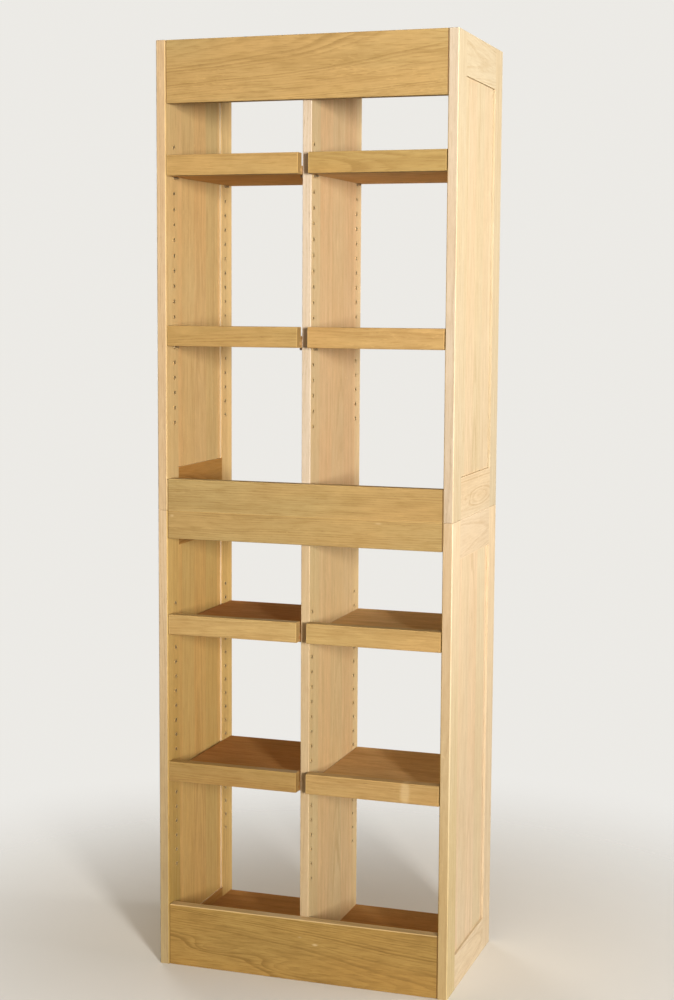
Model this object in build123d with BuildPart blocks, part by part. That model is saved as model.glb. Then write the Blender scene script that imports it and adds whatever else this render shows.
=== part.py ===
"""Open two-section oak bookcase: an upper unit stacked on a lower unit.

Each unit has two frame-and-panel sides, a centre divider, front rails, boards
and a rear rail. Two bays per unit carry two adjustable shelves each, and every
shelf rests on four steel pegs in a column of sleeved holes.

Frame: millimetres, +Z up, front towards -Y, origin at the middle of the
footprint on the floor.
"""
import os
from collections import namedtuple

from build123d import *

os.makedirs("parts", exist_ok=True)

# ---- Driving dimensions -------------------------------------------------
WIDTH = 605.0
DEPTH = 345.0
HEIGHT = 1845.0
SEAM = 932.0  # level where the upper unit stands on the lower one
SEAM_GAP = 0.3  # air left between the two units

SIDE_THICK = 20.0
STILE_WIDE = 57.0
PANEL_THICK = 10.0
GROOVE_WIDE = 6.2
GROOVE_DEEP = 10.0
TONGUE_THICK = 6.0
TONGUE_LONG = 9.0
TENON_LONG = 30.0
TENON_SHOULDER = 15.0  # tenon set in from the rail's top and bottom edges

DIVIDER_THICK = 18.0
DIVIDER_FRONT = 24.0  # set back behind the sides' front edges
INNER_REAR = 337.0  # rear line of divider, boards and rear rails

RAIL_THICK = 20.0
RAIL_SET_BACK = 1.5
BOARD_THICK = 18.0
BOTTOM_BOARD_TOP = 50.0
BOTTOM_BOARD_THICK = 16.0

LIP_HIGH = 40.0
LIP_THICK = 22.0
LIP_FRONT = 0.8
SHELF_THICK = 16.0
SHELF_REAR = 336.0
SHELF_GAP = 1.5  # free play at each end of a shelf
SHELF_TONGUE_THICK = 6.0
SHELF_TONGUE_LONG = 7.0

HOLE_PITCH = 30.0
HOLES_PER_COLUMN = 19
HOLE_DEPTHS = (39.0, 306.0)  # the two peg columns, measured from the front
BORE_RADIUS = 3.55
BORE_DEEP = 8.6
SLEEVE_OUTER = 3.5
SLEEVE_INNER = 2.5
SLEEVE_LONG = 8.0
FLANGE_RADIUS = 4.25
FLANGE_THICK = 0.5
PEG_RADIUS = 2.45
PEG_IN = 7.0
PEG_OUT = 9.0
PEG_TO_SHELF = 2.8  # peg centre up to the underside of a shelf

DOWEL_RADIUS = 4.0
DOWEL_SLACK = 0.05
DOWEL_END_SLACK = 0.5
DOWEL_IN_SIDE = 12.0
DOWEL_IN_BOARD = 18.0
DIVIDER_DOWEL_IN_BOARD = 10.0
DIVIDER_DOWEL_IN_DIVIDER = 20.0
BOARD_DOWEL_DEPTHS = (80.0, 172.5, 265.0)
DIVIDER_DOWEL_DEPTHS = (90.0, 270.0)
RAIL_DOWEL_FROM_EDGE = 12.0
RAIL_DOWEL_CLEARANCE = 8.0  # wood left between a rail's dowel and a stacking dowel

STACKING_RADIUS = 5.0
STACKING_SLACK = 0.4
STACKING_REACH = 12.0
STACKING_SET_IN = 14.0

EDGE_ROUND = 2.5
SOFT_ROUND = 1.5
END_ROUND = 1.0
SEAM_ROUND = 0.5

# One row per unit. Rail and board levels are heights above the floor.
Unit = namedtuple(
    "Unit",
    "name base top side_bottom_rail side_top_rail front_bottom front_top"
    " lower_board upper_board rear_rail first_hole shelf_pegs",
)

LOWER = Unit(
    name="lower",
    base=0.0,
    top=SEAM,
    side_bottom_rail=70.0,
    side_top_rail=76.0,
    front_bottom=(0.0, 126.0),
    front_top=(876.0, SEAM),
    lower_board=(BOTTOM_BOARD_TOP - BOTTOM_BOARD_THICK, BOTTOM_BOARD_TOP),
    upper_board=(SEAM - BOARD_THICK, SEAM),
    rear_rail=(858.0, SEAM - BOARD_THICK),
    first_hole=200.0,
    shelf_pegs=(680.0, 380.0),
)

UPPER = Unit(
    name="upper",
    base=SEAM + SEAM_GAP,
    top=HEIGHT,
    side_bottom_rail=81.0,
    side_top_rail=80.0,
    front_bottom=(SEAM + SEAM_GAP, 995.0),
    front_top=(1725.0, HEIGHT),
    lower_board=(SEAM + SEAM_GAP, SEAM + BOARD_THICK),
    upper_board=(HEIGHT - BOARD_THICK, HEIGHT),
    rear_rail=(1768.0, HEIGHT - BOARD_THICK),
    first_hole=1104.0,
    shelf_pegs=(1584.0, 1254.0),
)

UNITS = (LOWER, UPPER)
SIDES = {"left": -1, "right": 1}

INNER_X = WIDTH / 2 - SIDE_THICK  # inner face of a side
DIVIDER_X = DIVIDER_THICK / 2  # face of the divider
SIDE_X = WIDTH / 2 - SIDE_THICK / 2  # middle of a side's thickness


def from_front(depth):
    """Y of a point that lies this far behind the sides' front edges."""
    return depth - DEPTH / 2


def block(x_span, y_span, z_span, mode=Mode.ADD):
    """Square-edged block in the current part, between pairs of X, Y and Z."""
    x_low, x_high = x_span
    y_low, y_high = y_span
    z_low, z_high = z_span
    with BuildSketch(Plane.XY.offset(z_low)) as outline:
        with Locations(((x_low + x_high) / 2, (y_low + y_high) / 2)):
            Rectangle(x_high - x_low, y_high - y_low)
    extrude(outline.sketch, amount=z_high - z_low, mode=mode)


def centred(middle, size):
    return (middle - size / 2, middle + size / 2)


def save(piece, name):
    """Label a finished piece and write it as its own file."""
    piece.part.label = name
    export_step(piece.part, f"parts/{name}.step")


# ---- Holes and the small hardware that fills them -----------------------
def hole_levels(unit):
    return [unit.first_hole + HOLE_PITCH * step for step in range(HOLES_PER_COLUMN)]


def column_points(levels):
    """Hole centres in one face, as Y and Z, for the front and rear columns."""
    return [(from_front(depth), level) for depth in HOLE_DEPTHS for level in levels]


# Faces that carry peg holes: X of the face, and the way that its holes run in.
PEG_FACES = (
    (-INNER_X, -1),
    (-DIVIDER_X, 1),
    (DIVIDER_X, -1),
    (INNER_X, 1),
)


def rods(points, radius, x_start, length):
    """Round rods along X in the current part, one at each Y and Z point."""
    with BuildSketch(Plane.YZ.offset(x_start)) as ends:
        with Locations(*points):
            Circle(radius)
    extrude(ends.sketch, amount=length)


def tubes(points, outer, inner, x_start, length):
    """Round tubes along X in the current part, one at each Y and Z point."""
    with BuildSketch(Plane.YZ.offset(x_start)) as ends:
        with Locations(*points):
            Circle(outer)
            Circle(inner, mode=Mode.SUBTRACT)
    extrude(ends.sketch, amount=length)


def make_peg_bores(unit):
    with BuildPart() as bores:
        for x_face, inward in PEG_FACES:
            rods(column_points(hole_levels(unit)), BORE_RADIUS, x_face, inward * BORE_DEEP)
    return bores.part


def make_sleeves(unit):
    points = column_points(hole_levels(unit))
    with BuildPart() as sleeves:
        for x_face, inward in PEG_FACES:
            tubes(points, SLEEVE_OUTER, SLEEVE_INNER, x_face, inward * SLEEVE_LONG)
            tubes(points, FLANGE_RADIUS, SLEEVE_INNER, x_face, -inward * FLANGE_THICK)
    save(sleeves, f"{unit.name}_peg_sleeves")


def make_pegs(unit):
    points = column_points(unit.shelf_pegs)
    with BuildPart() as pegs:
        for x_face, inward in PEG_FACES:
            rods(points, PEG_RADIUS, x_face + inward * PEG_IN, -inward * (PEG_IN + PEG_OUT))
    save(pegs, f"{unit.name}_shelf_pegs")


def rail_dowel_levels(span):
    """Two dowel heights in a rail end, clear of the stacking dowels."""
    low, high = span
    clear_of_stacking = STACKING_REACH + DOWEL_RADIUS + RAIL_DOWEL_CLEARANCE
    if high == SEAM:
        return (low + RAIL_DOWEL_FROM_EDGE, high - clear_of_stacking)
    if low == SEAM + SEAM_GAP:
        return (low + clear_of_stacking, high - RAIL_DOWEL_FROM_EDGE)
    quarter = (high - low) / 4
    return (low + quarter, high - quarter)


def side_dowel_points(unit):
    """Y and Z of every dowel that ties a rail or a board to a side."""
    points = []
    for span in (unit.front_bottom, unit.front_top):
        for level in rail_dowel_levels(span):
            points.append((from_front(RAIL_SET_BACK + RAIL_THICK / 2), level))
    for level in rail_dowel_levels(unit.rear_rail):
        points.append((from_front(INNER_REAR - RAIL_THICK / 2), level))
    for low, high in (unit.lower_board, unit.upper_board):
        for depth in BOARD_DOWEL_DEPTHS:
            points.append((from_front(depth), (low + high) / 2))
    return points


def case_rods(unit, slack, end_slack):
    """Rods of a unit's hidden dowels, or with slack the bores that take them."""
    radius = DOWEL_RADIUS + slack
    points = side_dowel_points(unit)
    length = DOWEL_IN_SIDE + DOWEL_IN_BOARD + 2 * end_slack
    with BuildPart() as case:
        for sign in SIDES.values():
            x_outer = sign * (INNER_X + DOWEL_IN_SIDE + end_slack)
            rods(points, radius, x_outer, -sign * length)
        in_board = DIVIDER_DOWEL_IN_BOARD + end_slack
        in_divider = DIVIDER_DOWEL_IN_DIVIDER + end_slack
        for level, upward in ((unit.lower_board[1], 1), (unit.upper_board[0], -1)):
            with BuildSketch(Plane.XY.offset(level - upward * in_board)):
                with Locations(*[(0, from_front(depth)) for depth in DIVIDER_DOWEL_DEPTHS]):
                    Circle(radius)
            extrude(amount=upward * (in_board + in_divider))
    return case


def stacking_rods(radius, z_span):
    """Upright rods in the four corners of the seam."""
    low, high = z_span
    corners = [
        (sign * SIDE_X, from_front(depth))
        for sign in SIDES.values()
        for depth in (STACKING_SET_IN, DEPTH - STACKING_SET_IN)
    ]
    with BuildPart() as upright:
        with BuildSketch(Plane.XY.offset(low)):
            with Locations(*corners):
                Circle(radius)
        extrude(amount=high - low)
    return upright


def make_stacking_bores(unit):
    """Sockets for the stacking dowels: snug below the seam, loose above it."""
    reach = STACKING_REACH + DOWEL_END_SLACK
    if unit is LOWER:
        return stacking_rods(STACKING_RADIUS + DOWEL_SLACK, (SEAM - reach, SEAM)).part
    above = (SEAM + SEAM_GAP, SEAM + SEAM_GAP + reach)
    return stacking_rods(STACKING_RADIUS + STACKING_SLACK, above).part


# ---- Frame-and-panel sides ----------------------------------------------
def end_round(unit, level):
    """Rounding at a side's end: fuller at the very top than at seam and floor."""
    return SOFT_ROUND if level == HEIGHT else END_ROUND


def make_stile(unit, side, place, bores):
    """Upright of a side, grooved for the panel and mortised for both rails."""
    sign = SIDES[side]
    x_span = centred(sign * SIDE_X, SIDE_THICK)
    groove_x = centred(sign * SIDE_X, GROOVE_WIDE)
    if place == "front":
        y_span = (from_front(0), from_front(STILE_WIDE))
        groove_y = (y_span[1] - GROOVE_DEEP, y_span[1])
        mortise_y = (y_span[1] - TENON_LONG, y_span[1])
        outer_edge = 0
    else:
        y_span = (from_front(DEPTH - STILE_WIDE), from_front(DEPTH))
        groove_y = (y_span[0], y_span[0] + GROOVE_DEEP)
        mortise_y = (y_span[0], y_span[0] + TENON_LONG)
        outer_edge = -1
    low_mortise = (unit.base + TENON_SHOULDER, unit.base + unit.side_bottom_rail - TENON_SHOULDER)
    high_mortise = (unit.top - unit.side_top_rail + TENON_SHOULDER, unit.top - TENON_SHOULDER)
    with BuildPart() as stile:
        block(x_span, y_span, (unit.base, unit.top))
        fillet(stile.edges().filter_by(Axis.Z).group_by(Axis.Y)[outer_edge], EDGE_ROUND)
        for end, level in ((0, unit.base), (-1, unit.top)):
            ends = stile.faces().sort_by(Axis.Z)[end].edges()
            inner_edge = -1 if place == "front" else 0
            joint_line = ends.filter_by(Axis.X).sort_by(Axis.Y)[inner_edge]
            rounded = [edge for edge in ends if edge != joint_line]
            fillet(rounded, end_round(unit, level))
        block(groove_x, groove_y, (unit.base, unit.top), mode=Mode.SUBTRACT)
        for z_span in (low_mortise, high_mortise):
            block(groove_x, mortise_y, z_span, mode=Mode.SUBTRACT)
        for bore in bores:
            add(bore, mode=Mode.SUBTRACT)
    save(stile, f"{unit.name}_{side}_{place}_stile")


def make_side_rail(unit, side, place, bores):
    """Cross rail of a side, with a haunched tenon at each end."""
    sign = SIDES[side]
    x_span = centred(sign * SIDE_X, SIDE_THICK)
    tenon_x = centred(sign * SIDE_X, GROOVE_WIDE)
    y_span = (from_front(STILE_WIDE), from_front(DEPTH - STILE_WIDE))
    haunch_y = (y_span[0] - GROOVE_DEEP, y_span[1] + GROOVE_DEEP)
    tenon_y = (y_span[0] - TENON_LONG, y_span[1] + TENON_LONG)
    if place == "bottom":
        z_span = (unit.base, unit.base + unit.side_bottom_rail)
        groove_z = (z_span[1] - GROOVE_DEEP, z_span[1])
        haunch_z = (z_span[0] + 2 * END_ROUND, groove_z[0])
        level = unit.base
        end = 0
    else:
        z_span = (unit.top - unit.side_top_rail, unit.top)
        groove_z = (z_span[0], z_span[0] + GROOVE_DEEP)
        haunch_z = (groove_z[1], z_span[1] - 2 * END_ROUND)
        level = unit.top
        end = -1
    tenon_z = (z_span[0] + TENON_SHOULDER, z_span[1] - TENON_SHOULDER)
    with BuildPart() as rail:
        block(x_span, y_span, z_span)
        fillet(rail.edges().filter_by(Axis.Y).group_by(Axis.Z)[end], end_round(unit, level))
        block(tenon_x, y_span, groove_z, mode=Mode.SUBTRACT)
        block(tenon_x, haunch_y, haunch_z)
        block(tenon_x, tenon_y, tenon_z)
        for bore in bores:
            add(bore, mode=Mode.SUBTRACT)
    save(rail, f"{unit.name}_{side}_side_{place}_rail")


def make_panel(unit, side):
    """Floating panel of a side: a flat field with a thinner tongue all round."""
    sign = SIDES[side]
    y_span = (from_front(STILE_WIDE), from_front(DEPTH - STILE_WIDE))
    z_span = (unit.base + unit.side_bottom_rail, unit.top - unit.side_top_rail)
    tongue_y = (y_span[0] - TONGUE_LONG, y_span[1] + TONGUE_LONG)
    tongue_z = (z_span[0] - TONGUE_LONG, z_span[1] + TONGUE_LONG)
    with BuildPart() as panel:
        block(centred(sign * SIDE_X, PANEL_THICK), y_span, z_span)
        block(centred(sign * SIDE_X, TONGUE_THICK), tongue_y, tongue_z)
    save(panel, f"{unit.name}_{side}_side_panel")


# ---- Rails, boards and divider between the sides ------------------------
def front_rail_round(level):
    """Rounding along a front rail's edge: fine where it meets the other unit."""
    return SEAM_ROUND if level in (SEAM, SEAM + SEAM_GAP) else EDGE_ROUND


def make_front_rail(unit, name, z_span, bore):
    """Front rail, eased all round its face so that a fine line shows at both sides."""
    y_span = (from_front(RAIL_SET_BACK), from_front(RAIL_SET_BACK + RAIL_THICK))
    low, high = z_span
    with BuildPart() as rail:
        block((-INNER_X, INNER_X), y_span, z_span)
        fillet(rail.edges().filter_by(Axis.Z).group_by(Axis.Y)[0], END_ROUND)
        face_edges = rail.faces().sort_by(Axis.Y)[0].edges().filter_by(Axis.X).sort_by(Axis.Z)
        fillet(face_edges[0], front_rail_round(low))
        face_edges = rail.faces().sort_by(Axis.Y)[0].edges().filter_by(Axis.X).sort_by(Axis.Z)
        fillet(face_edges[-1], front_rail_round(high))
        add(bore, mode=Mode.SUBTRACT)
    save(rail, name)


def make_rear_rail(unit, bore):
    y_span = (from_front(INNER_REAR - RAIL_THICK), from_front(INNER_REAR))
    with BuildPart() as rail:
        block((-INNER_X, INNER_X), y_span, unit.rear_rail)
        fillet(rail.edges().filter_by(Axis.X).group_by(Axis.Z)[0], END_ROUND)
        add(bore, mode=Mode.SUBTRACT)
    save(rail, f"{unit.name}_rear_rail")


def make_case_board(name, z_span, bore):
    y_span = (from_front(RAIL_SET_BACK + RAIL_THICK), from_front(INNER_REAR))
    with BuildPart() as board:
        block((-INNER_X, INNER_X), y_span, z_span)
        fillet(board.edges().filter_by(Axis.X).group_by(Axis.Y)[-1], END_ROUND)
        add(bore, mode=Mode.SUBTRACT)
    save(board, name)


def make_divider(unit, bores):
    """Centre upright, notched at the top of its rear edge for the rear rail."""
    y_span = (from_front(DIVIDER_FRONT), from_front(INNER_REAR))
    z_span = (unit.lower_board[1], unit.upper_board[0])
    notch_y = (from_front(INNER_REAR - RAIL_THICK), from_front(INNER_REAR))
    with BuildPart() as divider:
        block((-DIVIDER_X, DIVIDER_X), y_span, z_span)
        fillet(divider.edges().filter_by(Axis.Z).group_by(Axis.Y)[0], SOFT_ROUND)
        fillet(divider.edges().filter_by(Axis.Z).group_by(Axis.Y)[-1], END_ROUND)
        block((-DIVIDER_X, DIVIDER_X), notch_y, unit.rear_rail, mode=Mode.SUBTRACT)
        for bore in bores:
            add(bore, mode=Mode.SUBTRACT)
    save(divider, f"{unit.name}_divider")


# ---- Shelves ------------------------------------------------------------
def make_shelf(number, bay, peg_level):
    """Adjustable shelf: a board let into the back of a taller front lip."""
    sign = SIDES[bay]
    x_ends = sorted((sign * (DIVIDER_X + SHELF_GAP), sign * (INNER_X - SHELF_GAP)))
    underside = peg_level + PEG_TO_SHELF
    lip_y = (from_front(LIP_FRONT), from_front(LIP_FRONT + LIP_THICK))
    tongue_z = centred(underside + SHELF_THICK / 2, SHELF_TONGUE_THICK)
    tongue_y = (lip_y[1] - SHELF_TONGUE_LONG, lip_y[1])

    with BuildPart() as lip:
        block(x_ends, lip_y, (underside, underside + LIP_HIGH))
        fillet(lip.edges().filter_by(Axis.X).group_by(Axis.Y)[0], EDGE_ROUND)
        fillet(lip.edges().filter_by(Axis.X).sort_by(Axis.Y)[-2:].sort_by(Axis.Z)[-1], SOFT_ROUND)
        block(x_ends, tongue_y, tongue_z, mode=Mode.SUBTRACT)
    save(lip, f"shelf_{number}_{bay}_lip")

    with BuildPart() as board:
        block(x_ends, (lip_y[1], from_front(SHELF_REAR)), (underside, underside + SHELF_THICK))
        fillet(board.edges().filter_by(Axis.X).group_by(Axis.Y)[-1], SOFT_ROUND)
        block(x_ends, tongue_y, tongue_z)
    save(board, f"shelf_{number}_{bay}_board")


# ---- Build --------------------------------------------------------------
def make_unit(unit):
    peg_bores = make_peg_bores(unit)
    case_bores = case_rods(unit, DOWEL_SLACK, DOWEL_END_SLACK).part
    stacking_bores = make_stacking_bores(unit)
    for side in SIDES:
        for place in ("front", "rear"):
            make_stile(unit, side, place, (peg_bores, case_bores, stacking_bores))
        for place in ("top", "bottom"):
            make_side_rail(unit, side, place, (case_bores,))
        make_panel(unit, side)
    make_front_rail(unit, f"{unit.name}_bottom_front_rail", unit.front_bottom, case_bores)
    make_front_rail(unit, f"{unit.name}_top_front_rail", unit.front_top, case_bores)
    make_rear_rail(unit, case_bores)
    make_case_board(f"{unit.name}_bottom_board", unit.lower_board, case_bores)
    make_case_board(f"{unit.name}_top_board", unit.upper_board, case_bores)
    make_divider(unit, (peg_bores, case_bores))
    make_sleeves(unit)
    make_pegs(unit)
    save(case_rods(unit, 0, 0), f"{unit.name}_case_dowels")


for unit in UNITS:
    make_unit(unit)

stacking_dowels = stacking_rods(STACKING_RADIUS, (SEAM - STACKING_REACH, SEAM + STACKING_REACH))
save(stacking_dowels, "stacking_dowels")

# Shelves are numbered from the top down.
for number, peg_level in enumerate(UPPER.shelf_pegs + LOWER.shelf_pegs, start=1):
    for bay in SIDES:
        make_shelf(number, bay, peg_level)
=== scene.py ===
import math
import random

import bpy
from mathutils import Euler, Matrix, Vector


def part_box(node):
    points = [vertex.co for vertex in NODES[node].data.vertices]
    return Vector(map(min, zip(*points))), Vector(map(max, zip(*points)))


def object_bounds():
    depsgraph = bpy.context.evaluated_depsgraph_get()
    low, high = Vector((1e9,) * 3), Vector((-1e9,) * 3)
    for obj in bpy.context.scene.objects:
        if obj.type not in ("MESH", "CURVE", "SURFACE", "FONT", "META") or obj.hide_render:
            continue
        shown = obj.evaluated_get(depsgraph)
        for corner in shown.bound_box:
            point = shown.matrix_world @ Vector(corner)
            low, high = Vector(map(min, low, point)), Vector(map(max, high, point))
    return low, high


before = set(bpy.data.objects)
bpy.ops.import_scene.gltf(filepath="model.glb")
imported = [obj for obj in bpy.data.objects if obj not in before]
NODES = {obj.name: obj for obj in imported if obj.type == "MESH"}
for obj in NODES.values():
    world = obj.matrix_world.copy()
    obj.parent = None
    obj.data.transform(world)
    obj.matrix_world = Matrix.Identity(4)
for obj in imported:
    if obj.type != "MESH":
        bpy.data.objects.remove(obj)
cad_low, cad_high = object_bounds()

FRONT_FACE = cad_low.y
HALF_WIDTH = (cad_high.x - cad_low.x) / 2
UNITS = ("upper", "lower")

# ---- Tones, as linear light ---------------------------------------------
# Each oak tone is (light wood, dark growth line, warm drift).
# The tones kept apart by unit, the inner tones against the outer side tones, the dark inner_rail tone and
# the pale plinth_top tone are painted light and painted shade: lit and shaded copies of one oak.
TONES = {
    "rail": ((0.390, 0.275, 0.112), (0.262, 0.157, 0.048), (0.414, 0.254, 0.093)),
    "lip": ((0.410, 0.290, 0.122), (0.285, 0.172, 0.056), (0.440, 0.272, 0.104)),
    "plinth": ((0.362, 0.228, 0.064), (0.205, 0.110, 0.024), (0.376, 0.212, 0.053)),
    "edge": ((0.575, 0.445, 0.270), (0.430, 0.290, 0.150), (0.565, 0.410, 0.230)),
    "upper_side": ((0.519, 0.431, 0.292), (0.393, 0.286, 0.158), (0.519, 0.408, 0.254)),
    "lower_side": ((0.622, 0.502, 0.342), (0.471, 0.333, 0.186), (0.622, 0.474, 0.298)),
    "upper_inner": ((0.530, 0.383, 0.181), (0.389, 0.244, 0.095), (0.543, 0.357, 0.153)),
    "lower_inner": ((0.531, 0.363, 0.133), (0.389, 0.232, 0.069), (0.544, 0.339, 0.112)),
    "inner_rail": ((0.343, 0.186, 0.047), (0.229, 0.107, 0.023), (0.352, 0.167, 0.039)),
    "upper_divider": ((0.604, 0.455, 0.265), (0.465, 0.311, 0.154), (0.604, 0.416, 0.225)),
    "lower_divider": ((0.617, 0.482, 0.268), (0.476, 0.329, 0.156), (0.617, 0.440, 0.227)),
    "plinth_top": ((0.560, 0.400, 0.190), (0.400, 0.262, 0.105), (0.580, 0.385, 0.170)),
    "board": ((0.594, 0.380, 0.183), (0.409, 0.238, 0.097), (0.614, 0.359, 0.160)),
    "upper_band": ((0.525, 0.427, 0.322), (0.449, 0.338, 0.221), (0.525, 0.427, 0.322)),
    "lower_band": ((0.504, 0.375, 0.219), (0.407, 0.273, 0.143), (0.504, 0.375, 0.219)),
}
# Pieces that are deeper or paler than their tone, as shares of red, green and blue: partly the wood's own
# variation, partly painted light and painted shade for how the light fell on each piece.
TINTS_AND_SHADE = {
    "upper_left_front_stile": (0.91, 0.86, 0.85),
    "upper_right_front_stile": (0.87, 0.92, 1.12),
    "lower_left_front_stile": (1.03, 1.01, 1.06),
    "lower_right_front_stile": (0.93, 0.89, 0.90),
    "upper_right_side_bottom_rail": (1.06, 1.03, 1.04),
    "lower_right_side_top_rail": (0.97, 0.97, 1.00),
    "lower_bottom_board": (0.72, 0.62, 0.48),
    "shelf_1_left_board": (1.05, 1.07, 1.10),
    "shelf_2_left_board": (1.05, 1.07, 1.10),
    "shelf_3_left_board": (0.79, 0.66, 0.60),
    "shelf_4_left_board": (0.70, 0.58, 0.45),
    "shelf_1_right_board": (1.21, 1.34, 1.59),
    "shelf_2_right_board": (1.21, 1.34, 1.59),
    "shelf_3_right_board": (1.10, 1.18, 1.25),
    "shelf_4_right_board": (0.94, 0.96, 0.92),
    "shelf_1_left_lip": (0.98, 0.95, 0.88),
    "shelf_2_left_lip": (0.90, 0.86, 0.77),
    "shelf_3_left_lip": (1.14, 1.10, 1.06),
    "shelf_4_left_lip": (0.89, 0.81, 0.67),
    "shelf_1_right_lip": (0.87, 0.83, 0.70),
    "shelf_2_right_lip": (0.99, 0.92, 0.86),
    "shelf_3_right_lip": (1.13, 1.08, 1.02),
    "shelf_4_right_lip": (1.11, 1.03, 0.96),
}
NO_TINT_OR_SHADE = (1.0, 1.0, 1.0)
PIECE_SHADE = 0.035  # how much one piece may be lighter or darker than the next
# Painted shade: what is left of the tone at the lower end of pieces that darken towards the floor.
FOOT_SHADE = {"lower_left_front_stile": (0.72, 0.72, 0.58), "lower_right_front_stile": (0.88, 0.88, 0.70)}

KNOT = (0.230, 0.105, 0.030)
FLECK = (0.680, 0.520, 0.300)
JOINT_SHADOW = (0.115, 0.050, 0.014)
PANEL_SHADOW = (0.250, 0.150, 0.065)
# Shares of the wood's own colour.
PALE = (1.18, 1.18, 1.18)
DEEP = (0.20, 0.17, 0.14)
# Paler edges: handling wear and a painted highlight.
WORN_AND_HIGHLIGHT = (1.42, 1.42, 1.42)
REDDISH_STRIP = (1.045, 0.985, 0.97)
OLIVE_STRIP = (0.955, 0.99, 0.97)

BRASSY = (0.86, 0.72, 0.46)
DULL_STEEL = (0.46, 0.41, 0.33)
BEECH_LIGHT = (0.62, 0.42, 0.24)
BEECH_FLECK = (0.47, 0.28, 0.14)


# ---- Small helpers for building shader trees ----------------------------
class Tree:
    """Adds nodes to one material and links them by value or by socket."""

    def __init__(self, name):
        self.material = bpy.data.materials.new(name)
        self.material.use_nodes = True
        self.nodes = self.material.node_tree.nodes
        self.links = self.material.node_tree.links
        self.nodes.clear()

    def feed(self, socket, value):
        if isinstance(value, bpy.types.NodeSocket):
            self.links.new(value, socket)
        else:
            socket.default_value = value

    def math(self, operation, *values):
        node = self.nodes.new("ShaderNodeMath")
        node.operation = operation
        for socket, value in zip(node.inputs, values):
            self.feed(socket, value)
        return node.outputs[0]

    def vector(self, operation, *values):
        node = self.nodes.new("ShaderNodeVectorMath")
        node.operation = operation
        for socket, value in zip(node.inputs, values):
            self.feed(socket, value)
        return node.outputs["Value"] if operation in ("LENGTH", "DOT_PRODUCT") else node.outputs[0]

    def join(self, x, y, z):
        node = self.nodes.new("ShaderNodeCombineXYZ")
        for socket, value in zip(node.inputs, (x, y, z)):
            self.feed(socket, value)
        return node.outputs[0]

    def part(self, vector):
        """The x, y and z of a vector."""
        node = self.nodes.new("ShaderNodeSeparateXYZ")
        self.feed(node.inputs[0], vector)
        return node.outputs

    def noise(self, place, detail=2.0, roughness=0.5, scale=1.0):
        node = self.nodes.new("ShaderNodeTexNoise")
        self.feed(node.inputs["Vector"], place)
        node.inputs["Scale"].default_value = scale
        node.inputs["Detail"].default_value = detail
        node.inputs["Roughness"].default_value = roughness
        return node.outputs["Fac"]

    def line_noise(self, along, detail):
        node = self.nodes.new("ShaderNodeTexNoise")
        node.noise_dimensions = "1D"
        self.feed(node.inputs["W"], along)
        node.inputs["Scale"].default_value = 1.0
        node.inputs["Detail"].default_value = detail
        return node.outputs["Fac"]

    def one_each(self, number):
        """A value between 0 and 1 that is the same for the same whole number."""
        node = self.nodes.new("ShaderNodeTexWhiteNoise")
        node.noise_dimensions = "1D"
        self.feed(node.inputs["W"], number)
        return node.outputs["Value"]

    def fade(self, value, low, high, out_low=0.0, out_high=1.0):
        """Smooth step of value from low..high onto out_low..out_high."""
        node = self.nodes.new("ShaderNodeMapRange")
        node.interpolation_type = "SMOOTHSTEP"
        for socket, number in zip(node.inputs, (value, low, high, out_low, out_high)):
            self.feed(socket, number)
        return node.outputs[0]

    def mix(self, factor, first, second, blend="MIX"):
        node = self.nodes.new("ShaderNodeMix")
        node.data_type = "RGBA"
        node.blend_type = blend
        self.feed(node.inputs[0], factor)
        for socket, colour in ((node.inputs[6], first), (node.inputs[7], second)):
            self.feed(socket, colour if isinstance(colour, bpy.types.NodeSocket) else (*colour, 1.0))
        return node.outputs[2]

    def times(self, colour, shares):
        """The colour with only these shares of its red, green and blue."""
        return self.mix(1.0, colour, shares, "MULTIPLY")

    def surface(self, colour, roughness, height, bump_distance, metallic=0.0, strength=0.5, gloss=0.5):
        """Principled surface with a bump, as the material's output."""
        shader = self.nodes.new("ShaderNodeBsdfPrincipled")
        bump = self.nodes.new("ShaderNodeBump")
        bump.inputs["Strength"].default_value = strength
        bump.inputs["Distance"].default_value = bump_distance
        self.feed(bump.inputs["Height"], height)
        self.feed(shader.inputs["Base Color"], colour)
        self.feed(shader.inputs["Roughness"], roughness)
        self.feed(shader.inputs["Normal"], bump.outputs["Normal"])
        shader.inputs["Metallic"].default_value = metallic
        shader.inputs["Specular IOR Level"].default_value = gloss
        output = self.nodes.new("ShaderNodeOutputMaterial")
        self.links.new(shader.outputs[0], output.inputs["Surface"])
        return self.material


# ---- Oak ----------------------------------------------------------------
ORDER = {"x": (1, 2, 0), "y": (0, 2, 1), "z": (0, 1, 2)}  # across, across, along
SKIN = 0.0018  # depth to which a skin's tone reaches under its face
EDGE_WIDE = 0.0022  # width of the paler band along an edge, partly handling wear and partly a painted highlight
BUTT_SHIFT = 0.37  # how far apart in the log two butted lengths of wood lie
BUTT_RINGS = 17.0  # rings between them, for each unit of that shift
GAP_CORE, GAP_EDGE = 0.0006, 0.0018  # half widths of a shadow line, full and faded out
SLOW_WARP, QUICK_WARP = 4.0, 0.45  # shares of the warp in the rings' long and short waves
YEAR_WAVES = 0.31  # how often rich and poor years follow each other, per ring
RAY_AMOUNT = 0.45
PORE_AMOUNT = 0.40
END_AMOUNT = 0.55
LACQUER = (0.42, 0.56)  # roughness between and on the streaks
OAK_BUMP = 0.00022
PLATING_BUMP = 0.00003
BEECH_BUMP = 0.0001

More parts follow.
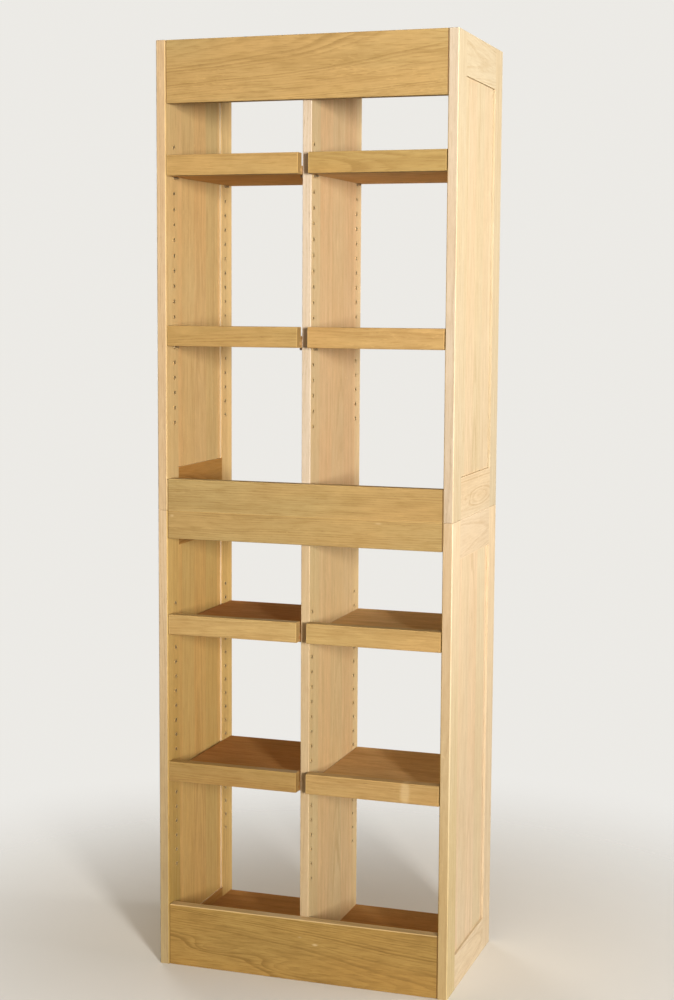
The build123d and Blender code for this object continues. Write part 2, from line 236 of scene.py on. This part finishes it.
# Layers of the grain: waves per metre across and along the board, then the noise's detail and roughness.
LAYERS = {
    "slow": (9.0, 1.6, 2.0, 0.5),
    "quick": (60.0, 11.0, 2.0, 0.5),
    "fibre": (480.0, 24.0, 3.0, 0.6),
    "streak": (190.0, 9.0, 4.0, 0.62),
    "band": (36.0, 3.6, 2.0, 0.5),
    "cloud": (7.0, 2.2, 2.0, 0.5),
    "blotch": (90.0, 22.0, 2.0, 0.5),
    "pore": (1500.0, 95.0, 1.0, 0.5),
    "ray": (260.0, 70.0, 1.0, 0.5),
    "ray_patch": (16.0, 6.0, 1.0, 0.5),
}
# How the layers stain the wood, one after the other: dark above the range, or pale below it.
STAINS = (
    ("band", "dark", (0.50, 0.72), 0.34),
    ("blotch", "dark", (0.48, 0.74), 0.30),
    ("blotch", "pale", (0.28, 0.46), 0.35),
    ("streak", "dark", (0.50, 0.76), 0.55),
    ("fibre", "dark", (0.50, 0.72), 0.62),
    ("streak", "pale", (0.22, 0.46), 0.30),
)


class Board(Tree):
    """The shader tree of one sawn oak piece, with its place in the log and its layers of grain."""

    def __init__(self, node_name, grain, shift):
        super().__init__("oak_" + node_name)
        self.low, self.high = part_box(node_name)
        self.grain = "xyz".index(grain)
        place = self.nodes.new("ShaderNodeTexCoord")
        self.source, self.normal = place.outputs["Object"], place.outputs["Normal"]
        self.axes = self.part(self.source)
        self.first, self.second, self.along = (self.axes[i] for i in ORDER[grain])
        self.drift = self.vector("ADD", self.join(self.first, self.second, self.along), shift)
        self.layers = {}

    def layer(self, name):
        """One layer of the grain, made when it is first asked for."""
        if name not in self.layers:
            across, along, detail, roughness = LAYERS[name]
            stretched = self.vector("MULTIPLY", self.drift, (across, across, along))
            self.layers[name] = self.noise(stretched, detail, roughness)
        return self.layers[name]

    def butt(self, splits):
        """Another part of the log beyond each split. Returns how far that is."""
        step = 0.0
        for split in splits:
            passed = self.math("GREATER_THAN", self.along, split)
            step = self.math("ADD", self.math("MULTIPLY", passed, BUTT_SHIFT), step)
            self.drift = self.vector("ADD", self.drift, self.join(step, step, 0.0))
        return step

    def glue(self, stave, start):
        """Another log for each strip of that width. Returns the strip's number."""
        strip = self.math("FLOOR", self.math("DIVIDE", self.math("ADD", self.second, start), stave))
        self.drift = self.vector("ADD", self.drift, self.join(strip, strip, strip))
        return strip

    def bell(self, centre, half_length, half_width):
        """1 at centre, fading to 0 over half_length along the grain and half_width across it."""
        stretch = [1.0 / half_width] * 3
        stretch[self.grain] = 1.0 / half_length
        away = self.vector("MULTIPLY", self.vector("SUBTRACT", self.source, centre), tuple(stretch))
        return self.math("EXPONENT", self.math("MULTIPLY", self.vector("DOT_PRODUCT", away, away), -1.0))

    def rings(self, pith, spacing, taper, warp, step, islands):
        """Mask of the growth rings' dark side: round the pith, warped, and tapering along the log."""
        a = self.math("SUBTRACT", self.first, pith[0])
        b = self.math("SUBTRACT", self.second, pith[1])
        squares = self.math("ADD", self.math("MULTIPLY", a, a), self.math("MULTIPLY", b, b))
        radius = self.math("SQRT", squares)
        radius = self.math("ADD", radius, self.math("MULTIPLY", self.along, taper))
        radius = self.math("ADD", radius, self.math("MULTIPLY", self.layer("slow"), warp * SLOW_WARP))
        radius = self.math("ADD", radius, self.math("MULTIPLY", self.layer("quick"), warp * QUICK_WARP))
        rings = self.math("DIVIDE", self.math("ADD", radius, 1.0), spacing)
        rings = self.math("ADD", rings, self.math("MULTIPLY", step, BUTT_RINGS))
        for centre, half_length, half_width, count in islands:
            swell = self.bell(centre, half_length, half_width)
            rings = self.math("ADD", rings, self.math("MULTIPLY", swell, count))
        phase = self.math("FRACT", rings)
        early = self.math("MULTIPLY", self.fade(phase, 0.0, 0.12), self.fade(phase, 0.22, 0.85, 1.0, 0.0))
        year = self.line_noise(self.math("MULTIPLY", rings, YEAR_WAVES), detail=2.0)
        return self.math("MULTIPLY", early, self.fade(year, 0.38, 0.68, 0.1, 1.0))

    def drifting(self, light, warm):
        """Slow drift of the tone along the board."""
        return self.mix(self.fade(self.layer("cloud"), 0.35, 0.68, 0.0, 0.75), light, warm)

    def skinned(self, colour, dark, skins):
        """The light and the dark wood with each skin's tone on its face."""
        for tone, axis, side in skins:
            index = "xyz".index(axis)
            if side == "low":
                inside = self.math("LESS_THAN", self.axes[index], self.low[index] + SKIN)
            else:
                inside = self.math("GREATER_THAN", self.axes[index], self.high[index] - SKIN)
            skin_light, skin_dark, skin_warm = TONES[tone]
            colour = self.mix(inside, colour, self.drifting(skin_light, skin_warm))
            dark = self.mix(inside, dark, skin_dark)
        return colour, dark

    def shaded_at_foot(self, colour, dark, foot):
        """The light and the dark wood with only the foot's share left at the lower end: painted shade,
        darker towards the floor.
        """
        depth = self.fade(self.axes[2], self.low.z, self.high.z, 1.0, 0.0)
        return [self.mix(depth, wood, self.times(wood, foot)) for wood in (colour, dark)]

    def end_grain(self):
        """1 on the faces that are sawn across the grain."""
        along_grain = [0.0, 0.0, 0.0]
        along_grain[self.grain] = 1.0
        facing = self.math("ABSOLUTE", self.vector("DOT_PRODUCT", self.normal, tuple(along_grain)))
        return self.fade(facing, 0.80, 0.97)

    def edges(self):
        """1 on the box's edges and 0 away from them, from the two smallest wall distances."""
        near = self.vector("SUBTRACT", self.source, tuple(self.low))
        far = self.vector("SUBTRACT", tuple(self.high), self.source)
        x, y, z = self.part(self.vector("MINIMUM", near, far))
        total = self.math("ADD", self.math("ADD", x, y), z)
        smallest = self.math("MINIMUM", self.math("MINIMUM", x, y), z)
        largest = self.math("MAXIMUM", self.math("MAXIMUM", x, y), z)
        middle = self.math("SUBTRACT", self.math("SUBTRACT", total, smallest), largest)
        return self.fade(middle, 0.0, EDGE_WIDE, 1.0, 0.0)

    def end_line(self, width):
        """Mask of a dark line at both ends of the piece."""
        to_low = self.math("SUBTRACT", self.along, self.low[self.grain])
        to_high = self.math("SUBTRACT", self.high[self.grain], self.along)
        return self.fade(self.math("MINIMUM", to_low, to_high), 0.5 * width, width, 0.85, 0.0)

    def gap_line(self, position, side):
        """Mask of a shadow line at that depth, on the low or the high side of the piece's width."""
        off = self.math("ABSOLUTE", self.math("SUBTRACT", self.axes[1], position))
        middle = (self.low.x + self.high.x) / 2
        outside = self.math("LESS_THAN" if side == "low" else "GREATER_THAN", self.axes[0], middle)
        return self.math("MULTIPLY", outside, self.fade(off, GAP_CORE, GAP_EDGE, 0.75, 0.0))


def oak(node_name, tone, grain, pith, spacing=0.0032, taper=0.012, warp=0.006, contrast=1.0,
        islands=(), marks=(), splits=(), gloss=0.28, skins=(), edge_wear_and_highlight=0.45, joint_line=0.0,
        ring_contrast=0.5, foot=None, stave=None, gaps=()):
    """Sawn oak. pith is the log's centre across the grain, spacing the growth rings' width.

    islands are (centre, half length, half width, rings): they bend the rings round a knot.
    marks are (centre, half length, half width, colour, amount): knots and pale ray flecks.
    splits are places along the grain where one stave is butted to the next.
    skins are (tone, axis, side): another tone on the piece's lowest or highest face on that axis.
    joint_line is how far a painted shadow line darkens both ends of the piece, where the joint would be in
    shade.
    foot is the share of red, green and blue that is left at the piece's lower end: painted shade, darker
    towards the floor.
    stave is the width of the strips glued edge to edge, each of its own log and tone.
    gaps are (position, side): shadow lines across the depth, on one side's face only.
    """
    draw = random.Random(node_name)
    shade = 1.0 + draw.uniform(-PIECE_SHADE, PIECE_SHADE)
    # Per-piece tint: partly the wood's own variation, partly painted light and painted shade.
    tint = TINTS_AND_SHADE.get(node_name, NO_TINT_OR_SHADE)
    light, dark, warm = [
        tuple(shade * share * part for share, part in zip(tint, colour)) for colour in TONES[tone]
    ]
    board = Board(node_name, grain, shift=tuple(draw.uniform(-20, 20) for _ in range(3)))
    step = board.butt(splits)
    strip = board.glue(stave, draw.uniform(1.0, 1.1)) if stave else None
    ring_mask = board.rings(pith, spacing, taper, warp, step, islands)

    # The tone, before any figure.
    colour = board.drifting(light, warm)
    if strip:
        olive, reddish = board.times(colour, OLIVE_STRIP), board.times(colour, REDDISH_STRIP)
        colour = board.mix(board.one_each(strip), olive, reddish)
    # Some skins carry painted light and painted shade: the inner and outer faces of the sides, the side
    # rails' inner faces and the plinth's top.
    colour, dark = board.skinned(colour, dark, skins)
    # Painted shade, darker towards the floor.
    if foot:
        colour, dark = board.shaded_at_foot(colour, dark, foot)

    # Rings, stains, ray flecks, pores and marks.
    inks = {"dark": dark, "pale": board.times(colour, PALE)}
    wood = board.mix(board.math("MULTIPLY", ring_mask, ring_contrast), colour, dark)
    for layer, ink, (low, high), amount in STAINS:
        amounts = (0.0, amount * contrast) if ink == "dark" else (amount * contrast, 0.0)
        wood = board.mix(board.fade(board.layer(layer), low, high, *amounts), wood, inks[ink])
    ray_places = board.fade(board.layer("ray_patch"), 0.56, 0.68)
    rays = board.math("MULTIPLY", board.fade(board.layer("ray"), 0.60, 0.70), ray_places)
    wood = board.mix(board.math("MULTIPLY", rays, RAY_AMOUNT), wood, inks["pale"])
    pore_share = board.math("MULTIPLY_ADD", ring_mask, 0.7, 0.3)
    pores = board.math("MULTIPLY", board.fade(board.layer("pore"), 0.60, 0.72), pore_share)
    wood = board.mix(board.math("MULTIPLY", pores, PORE_AMOUNT), wood, board.times(colour, DEEP))
    for centre, half_length, half_width, mark_colour, amount in marks:
        mark = board.bell(centre, half_length, half_width)
        wood = board.mix(board.fade(mark, 0.15, 0.85, 0.0, amount), wood, mark_colour)

    # Sawn ends drink more oil. The edges are paler, partly from handling wear and partly as a painted
    # highlight on their roundings.
    end_grain = board.end_grain()
    uneven = board.fade(board.layer("slow"), 0.30, 0.62, edge_wear_and_highlight * 0.5, edge_wear_and_highlight)
    wear_and_highlight = board.math("MULTIPLY", board.edges(), uneven)
    wood = board.mix(wear_and_highlight, wood, board.times(colour, WORN_AND_HIGHLIGHT))
    wood = board.mix(board.math("MULTIPLY", end_grain, END_AMOUNT), wood, dark)
    # Painted shadow line at both ends of the piece, where the joint would be in shade.
    if joint_line:
        wood = board.mix(board.end_line(joint_line), wood, JOINT_SHADOW)
    for position, side in gaps:
        wood = board.mix(board.gap_line(position, side), wood, PANEL_SHADOW)

    streak = board.layer("streak")
    height = board.math("MULTIPLY_ADD", ring_mask, -0.35, board.math("MULTIPLY", streak, 0.5))
    height = board.math("MULTIPLY_ADD", pores, -1.0, height)
    roughness = board.math("MULTIPLY_ADD", ring_mask, 0.08, board.fade(streak, 0.3, 0.7, *LACQUER))
    roughness = board.math("MULTIPLY_ADD", end_grain, 0.15, roughness)
    return board.surface(wood, roughness, height, OAK_BUMP, strength=0.45, gloss=gloss)


# ---- Metal and beech ----------------------------------------------------
def plated(name, tint, rough):
    """Plated metal with faint turning marks and a little tarnish."""
    tree = Tree(name)
    source = tree.nodes.new("ShaderNodeTexCoord").outputs["Object"]
    marks = tree.noise(tree.vector("MULTIPLY", source, (300.0, 2400.0, 2400.0)), detail=2.0)
    tarnish = tree.noise(source, detail=3.0, scale=420.0)
    dulled = tuple(0.55 * part for part in tint)
    colour = tree.mix(tree.fade(tarnish, 0.42, 0.70, 0.0, 0.55), tint, dulled)
    roughness = tree.fade(marks, 0.3, 0.7, rough - 0.07, rough + 0.12)
    return tree.surface(colour, roughness, marks, PLATING_BUMP, metallic=1.0, strength=0.3)


def beech(name, grain):
    """Plain dowel wood: close, even grain with short flecks."""
    tree = Tree(name)
    source = tree.nodes.new("ShaderNodeTexCoord").outputs["Object"]
    stretch = [700.0] * 3
    stretch["xyz".index(grain)] = 40.0
    fleck = tree.noise(tree.vector("MULTIPLY", source, tuple(stretch)), detail=3.0)
    colour = tree.mix(tree.fade(fleck, 0.42, 0.66), BEECH_LIGHT, BEECH_FLECK)
    return tree.surface(colour, tree.fade(fleck, 0.3, 0.7, 0.55, 0.7), fleck, BEECH_BUMP)


# ---- Camera, light and floor --------------------------------------------
CAMERA_LENS = 64.5
CAMERA_SENSOR = 36.0
CAMERA_PLACE = (1.1539, -3.4128, 1.3493)
CAMERA_TURN = (18.46, -6.38, 0.34)  # yaw, pitch and roll in degrees

WORLD_FRONT = (0.55, -0.83, 0.0)  # the way that counts as ahead of the bookcase
WORLD_RAMP = (-0.7, 0.8)  # from all behind to all ahead
WORLD_AHEAD = (0.125, 0.095, 0.055)
WORLD_BEHIND = (0.25, 0.195, 0.125)
BACKDROP = (0.84, 0.825, 0.79)

FLOOR_REACH = 30.0
FLOOR_FADE = (0.25, 1.5)  # distances from the bookcase over which the floor thins out
FLOOR_PALE = (0.84, 0.825, 0.795)
FLOOR_DIM = (0.80, 0.785, 0.75)

# Each light: name, place, what it aims at, width and height, watts, colour, spread in degrees.
LIGHTS = (
    ("key", (3.6, -4.8, 1.6), (0.0, 0.0, 1.6), (0.6, 1.4), 80.0, (1.0, 0.975, 0.93), 66.0),
    ("side", (3.6, 0.3, 1.6), (0.3, 0.0, 1.6), (1.4, 1.4), 20.0, (1.0, 0.985, 0.96), 80.0),
    ("fill", (-3.2, 3.6, 1.3), (0.0, 0.0, 1.1), (2.0, 2.0), 26.0, (1.0, 0.97, 0.92), 70.0),
    ("top", (0.8, -2.2, 4.2), (0.0, -0.1, 1.0), (1.6, 1.6), 24.0, (1.0, 0.985, 0.95), 180.0),
)


def make_camera():
    data = bpy.data.cameras.new("camera")
    data.lens = CAMERA_LENS
    data.sensor_width = CAMERA_SENSOR
    camera = bpy.data.objects.new("camera", data)
    camera.location = CAMERA_PLACE
    yaw, pitch, roll = (math.radians(angle) for angle in CAMERA_TURN)
    turn = Euler((0, 0, yaw)).to_matrix() @ Euler((math.pi / 2 + pitch, 0, 0)).to_matrix()
    camera.rotation_euler = (turn @ Euler((0, 0, roll)).to_matrix()).to_euler()
    bpy.context.scene.collection.objects.link(camera)
    bpy.context.scene.camera = camera


def area_light(name, place, aim, size, power, colour, spread):
    data = bpy.data.lights.new(name, "AREA")
    data.shape = "RECTANGLE"
    data.size, data.size_y = size
    data.energy = power
    data.color = colour
    data.spread = math.radians(spread)
    light = bpy.data.objects.new(name, data)
    light.location = place
    light.rotation_euler = (Vector(aim) - Vector(place)).to_track_quat("-Z", "Y").to_euler()
    light.visible_camera = False
    bpy.context.scene.collection.objects.link(light)


def make_world():
    """Soft warm surround, stronger behind the bookcase, and a plain backdrop that only the camera sees."""
    world = bpy.data.worlds.new("studio")
    bpy.context.scene.world = world
    world.use_nodes = True
    nodes, links = world.node_tree.nodes, world.node_tree.links
    nodes.clear()
    facing = nodes.new("ShaderNodeTexCoord")
    lean = nodes.new("ShaderNodeVectorMath")
    lean.operation = "DOT_PRODUCT"
    lean.inputs[1].default_value = Vector(WORLD_FRONT).normalized()
    links.new(facing.outputs["Generated"], lean.inputs[0])
    ramp = nodes.new("ShaderNodeMapRange")
    ramp.interpolation_type = "SMOOTHSTEP"
    for socket, number in zip(list(ramp.inputs)[1:3], WORLD_RAMP):
        socket.default_value = number
    links.new(lean.outputs["Value"], ramp.inputs[0])
    blend = nodes.new("ShaderNodeMix")
    blend.data_type = "RGBA"
    links.new(ramp.outputs[0], blend.inputs[0])
    blend.inputs[6].default_value = (*WORLD_BEHIND, 1.0)
    blend.inputs[7].default_value = (*WORLD_AHEAD, 1.0)
    lit = nodes.new("ShaderNodeBackground")
    links.new(blend.outputs[2], lit.inputs["Color"])
    seen = nodes.new("ShaderNodeBackground")
    seen.inputs["Color"].default_value = (*BACKDROP, 1.0)
    path = nodes.new("ShaderNodeLightPath")
    choose = nodes.new("ShaderNodeMixShader")
    links.new(path.outputs["Is Camera Ray"], choose.inputs[0])
    links.new(lit.outputs[0], choose.inputs[1])
    links.new(seen.outputs[0], choose.inputs[2])
    output = nodes.new("ShaderNodeOutputWorld")
    links.new(choose.outputs[0], output.inputs[0])


def make_floor():
    """Plain pale floor with the faintest mottling, which thins out into the backdrop."""
    mesh = bpy.data.meshes.new("floor")
    low, high = -FLOOR_REACH, FLOOR_REACH
    corners = [(low, low, 0), (high, low, 0), (high, high, 0), (low, high, 0)]
    mesh.from_pydata(corners, [], [(0, 1, 2, 3)])
    floor = bpy.data.objects.new("floor", mesh)
    bpy.context.scene.collection.objects.link(floor)
    tree = Tree("floor")
    source = tree.nodes.new("ShaderNodeTexCoord").outputs["Object"]
    mottle = tree.noise(source, detail=4.0, scale=3.0)
    colour = tree.mix(mottle, FLOOR_DIM, FLOOR_PALE)
    material = tree.surface(colour, tree.fade(mottle, 0.3, 0.7, 0.55, 0.65), mottle, 0.001, gloss=0.0)
    shader = next(node for node in tree.nodes if node.type == "BSDF_PRINCIPLED")
    tree.feed(shader.inputs["Alpha"], tree.fade(tree.vector("LENGTH", source), *FLOOR_FADE, 1.0, 0.0))
    mesh.materials.append(material)


# ---- Figures that only some pieces have ---------------------------------
# Places on a rail's face are (along it from the middle, up from its lower edge). log says where the
# log's centre lies, as (in front of the face, up from the lower edge), and heart is its height alone.
OVAL_UP = 0.0327
SIDE_RAIL_FIGURES = {
    "upper_right_side_bottom_rail": {
        "heart": OVAL_UP,
        "islands": (((0.035, OVAL_UP), 0.075, 0.020, -2.2), ((-0.079, 0.0357), 0.026, 0.009, 3.0)),
        "marks": (((-0.079, 0.0357), 0.010, 0.004, KNOT, 0.25),),
        "taper": 0.002, "warp": 0.0010, "ring_contrast": 1.0,
    },
}
FRONT_RAILS = {
    "upper_top_front_rail": {
        "tone": "rail", "log": (0.08, 0.127),
        "spacing": 0.0038, "taper": 0.067, "warp": 0.005, "ring_contrast": 0.6,
    },
    "upper_bottom_front_rail": {
        "tone": "rail", "log": (0.12, 0.1677), "spacing": 0.0034, "taper": 0.008,
    },
    "lower_top_front_rail": {
        "tone": "rail", "log": (0.10, 0.164), "spacing": 0.0034, "taper": 0.008,
        "marks": (((0.155, 0.049), 0.009, 0.0025, FLECK, 0.32),
                  ((-0.273, 0.046), 0.005, 0.003, FLECK, 0.35)),
    },
    "lower_bottom_front_rail": {
        "tone": "plinth", "log": (0.10, -0.002),
        "spacing": 0.0038, "taper": 0.055, "warp": 0.007, "ring_contrast": 0.75,
        # The pale plinth_top tone on the plinth's top face is a painted highlight.
        "skins": (("plinth_top", "z", "high"),),
        "islands": (((-0.186, 0.046), 0.050, 0.012, 2.6), ((-0.010, 0.020), 0.070, 0.014, 2.4)),
        "marks": (((-0.190, 0.046), 0.016, 0.0035, KNOT, 0.28),
                  ((0.031, 0.078), 0.007, 0.0028, FLECK, 0.55),
                  ((-0.001, 0.090), 0.006, 0.002, FLECK, 0.35)),
    },
}
FRONT_EDGE_WEAR_AND_HIGHLIGHT = 0.75
STILE_EDGE_WEAR_AND_HIGHLIGHT = 0.12
RAIL_JOINT_LINE = 0.0022
SHELF_RINGS = 0.0036
PANEL_STAVE = 0.062
DIVIDER_STAVE = 0.075
CATHEDRAL_LIP = "shelf_1_right"
TWO_PIECE_LIP = "shelf_4_right"
LIP_JOINT, LIP_MARK = 0.192, 0.203  # from the lip's left end: its joint, and the pale mark beyond


# ---- Dress every CAD node -----------------------------------------------
def put(node_name, material):
    """Give a CAD node its material."""
    mesh = NODES[node_name].data
    mesh.materials.clear()
    mesh.materials.append(material)


def on_face(spot, figures):
    """Islands or marks with their place on a face turned into a point by spot."""
    return tuple((spot(*place), *rest) for place, *rest in figures)


def dress_side_rail(name, sign, tone, inner_face):
    """One rail of a side, whose log lies beyond its outer face."""
    side_x = sign * HALF_WIDTH
    low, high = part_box(name)

    def spot(along, up):
        return (side_x, (low.y + high.y) / 2 + along, low.z + up)

    figure = {"heart": (high.z - low.z) / 2, "taper": 0.05, "islands": (), "marks": ()}
    figure.update(SIDE_RAIL_FIGURES.get(name, {}))
    pith = (side_x + sign * 0.05, low.z + figure.pop("heart"))
    islands, marks = (on_face(spot, figure.pop(kind)) for kind in ("islands", "marks"))
    # The dark inner_rail tone on the rail's inner face is painted shade.
    put(name, oak(name, tone, "y", pith, spacing=0.0034, contrast=0.7, islands=islands, marks=marks,
                  skins=(("inner_rail", "x", inner_face),), **figure))


def dress_front_rail(name, tone, log, islands=(), marks=(), **figure):
    """One front rail, whose log lies in front of its face."""
    low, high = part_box(name)

    def spot(along, up):
        return ((low.x + high.x) / 2 + along, FRONT_FACE, low.z + up)

    ahead, up = log
    put(name, oak(name, tone, "x", (FRONT_FACE - ahead, low.z + up), islands=on_face(spot, islands),
                  marks=on_face(spot, marks), joint_line=RAIL_JOINT_LINE, edge_wear_and_highlight=FRONT_EDGE_WEAR_AND_HIGHLIGHT,
                  **figure))


def dress_side(unit, side):
    """Stiles, rails and panel of one side, paler outside than inside: the outer and inner tones are painted
    light and painted shade on one oak.
    """
    sign = -1 if side == "left" else 1
    side_x = sign * HALF_WIDTH
    inner_tone, outer_tone = f"{unit}_inner", f"{unit}_side"
    inner_face, outer_face = ("high", "low") if side == "left" else ("low", "high")

    for place in ("front", "rear"):
        name = f"{unit}_{side}_{place}_stile"
        draw = random.Random("log " + name)
        pith = (side_x + sign * draw.uniform(0.10, 0.16), draw.uniform(-0.5, 0.5))
        tone = "edge" if place == "front" else outer_tone
        skins = ((inner_tone, "x", inner_face), (outer_tone, "x", outer_face))
        put(name, oak(name, tone, "z", pith, spacing=0.0030, taper=0.006, contrast=0.7,
                      edge_wear_and_highlight=STILE_EDGE_WEAR_AND_HIGHLIGHT, skins=skins, foot=FOOT_SHADE.get(name)))

    for place in ("top", "bottom"):
        dress_side_rail(f"{unit}_{side}_side_{place}_rail", sign, outer_tone, inner_face)

    name = f"{unit}_{side}_side_panel"
    low_tone, high_tone = (outer_tone, inner_tone) if side == "left" else (inner_tone, outer_tone)
    front_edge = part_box(f"{unit}_{side}_front_stile")[1].y
    rear_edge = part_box(f"{unit}_{side}_rear_stile")[0].y
    gaps = ((front_edge + 0.0004, outer_face), (rear_edge - 0.0008, outer_face))
    put(name, oak(name, high_tone, "z", (side_x + sign * 0.06, 0.0), spacing=0.0036, taper=0.016,
                  contrast=0.8, skins=((low_tone, "x", "low"),), stave=PANEL_STAVE, gaps=gaps))


def dress_core(unit):
    """Divider, hidden boards and rail, and the small parts."""
    name = f"{unit}_divider"
    put(name, oak(name, f"{unit}_divider", "z", (0.09, 0.03), spacing=0.0036, taper=0.014, contrast=0.75,
                  stave=DIVIDER_STAVE, skins=((f"{unit}_band", "y", "low"),)))
    for place, tone in (("rear_rail", "rail"), ("top_board", f"{unit}_divider"), ("bottom_board", "board")):
        name = f"{unit}_{place}"
        pith = (0.05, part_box(name)[0].z - 0.06)
        put(name, oak(name, tone, "x", pith, taper=0.02, gloss=0.0))
    put(f"{unit}_peg_sleeves", plated(f"{unit}_sleeves", BRASSY, 0.42))
    put(f"{unit}_shelf_pegs", plated(f"{unit}_pegs", DULL_STEEL, 0.34))
    put(f"{unit}_case_dowels", beech(f"{unit}_dowels", "x"))


def dress_shelf(shelf):
    """Lip and board of one shelf, each from its own log."""
    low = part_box(shelf + "_lip")[0]
    draw = random.Random("log " + shelf)
    pith = (FRONT_FACE - draw.uniform(0.08, 0.14), low.z + draw.choice((-0.06, 0.10)))
    taper = draw.choice((-1, 1)) * draw.uniform(0.006, 0.016)
    figure = {"ring_contrast": 0.45}
    if shelf == TWO_PIECE_LIP:
        mark_place = (low.x + LIP_MARK, FRONT_FACE, low.z + 0.022)
        figure["splits"] = (low.x + LIP_JOINT,)
        figure["marks"] = ((mark_place, 0.010, 0.030, FLECK, 0.32),)
    if shelf == CATHEDRAL_LIP:
        pith, taper = (FRONT_FACE - 0.05, low.z + 0.012), 0.045
        figure["ring_contrast"] = 0.9
    put(shelf + "_lip", oak(shelf + "_lip", "lip", "x", pith, spacing=SHELF_RINGS, taper=taper,
                            edge_wear_and_highlight=FRONT_EDGE_WEAR_AND_HIGHLIGHT, **figure))
    pith = (draw.uniform(-0.1, 0.1), low.z - draw.uniform(0.04, 0.09))
    put(shelf + "_board", oak(shelf + "_board", "board", "x", pith, spacing=SHELF_RINGS, taper=taper,
                              gloss=0.0))


make_camera()
make_world()
for light in LIGHTS:
    area_light(*light)
make_floor()
bpy.context.scene.view_settings.view_transform = "Standard"

for unit in UNITS:
    for side in ("left", "right"):
        dress_side(unit, side)
    dress_core(unit)
put("stacking_dowels", beech("stacking_dowels", "z"))
for name, figure in FRONT_RAILS.items():
    dress_front_rail(name, **figure)
for number in range(1, 5):
    for bay in ("left", "right"):
        dress_shelf(f"shelf_{number}_{bay}")
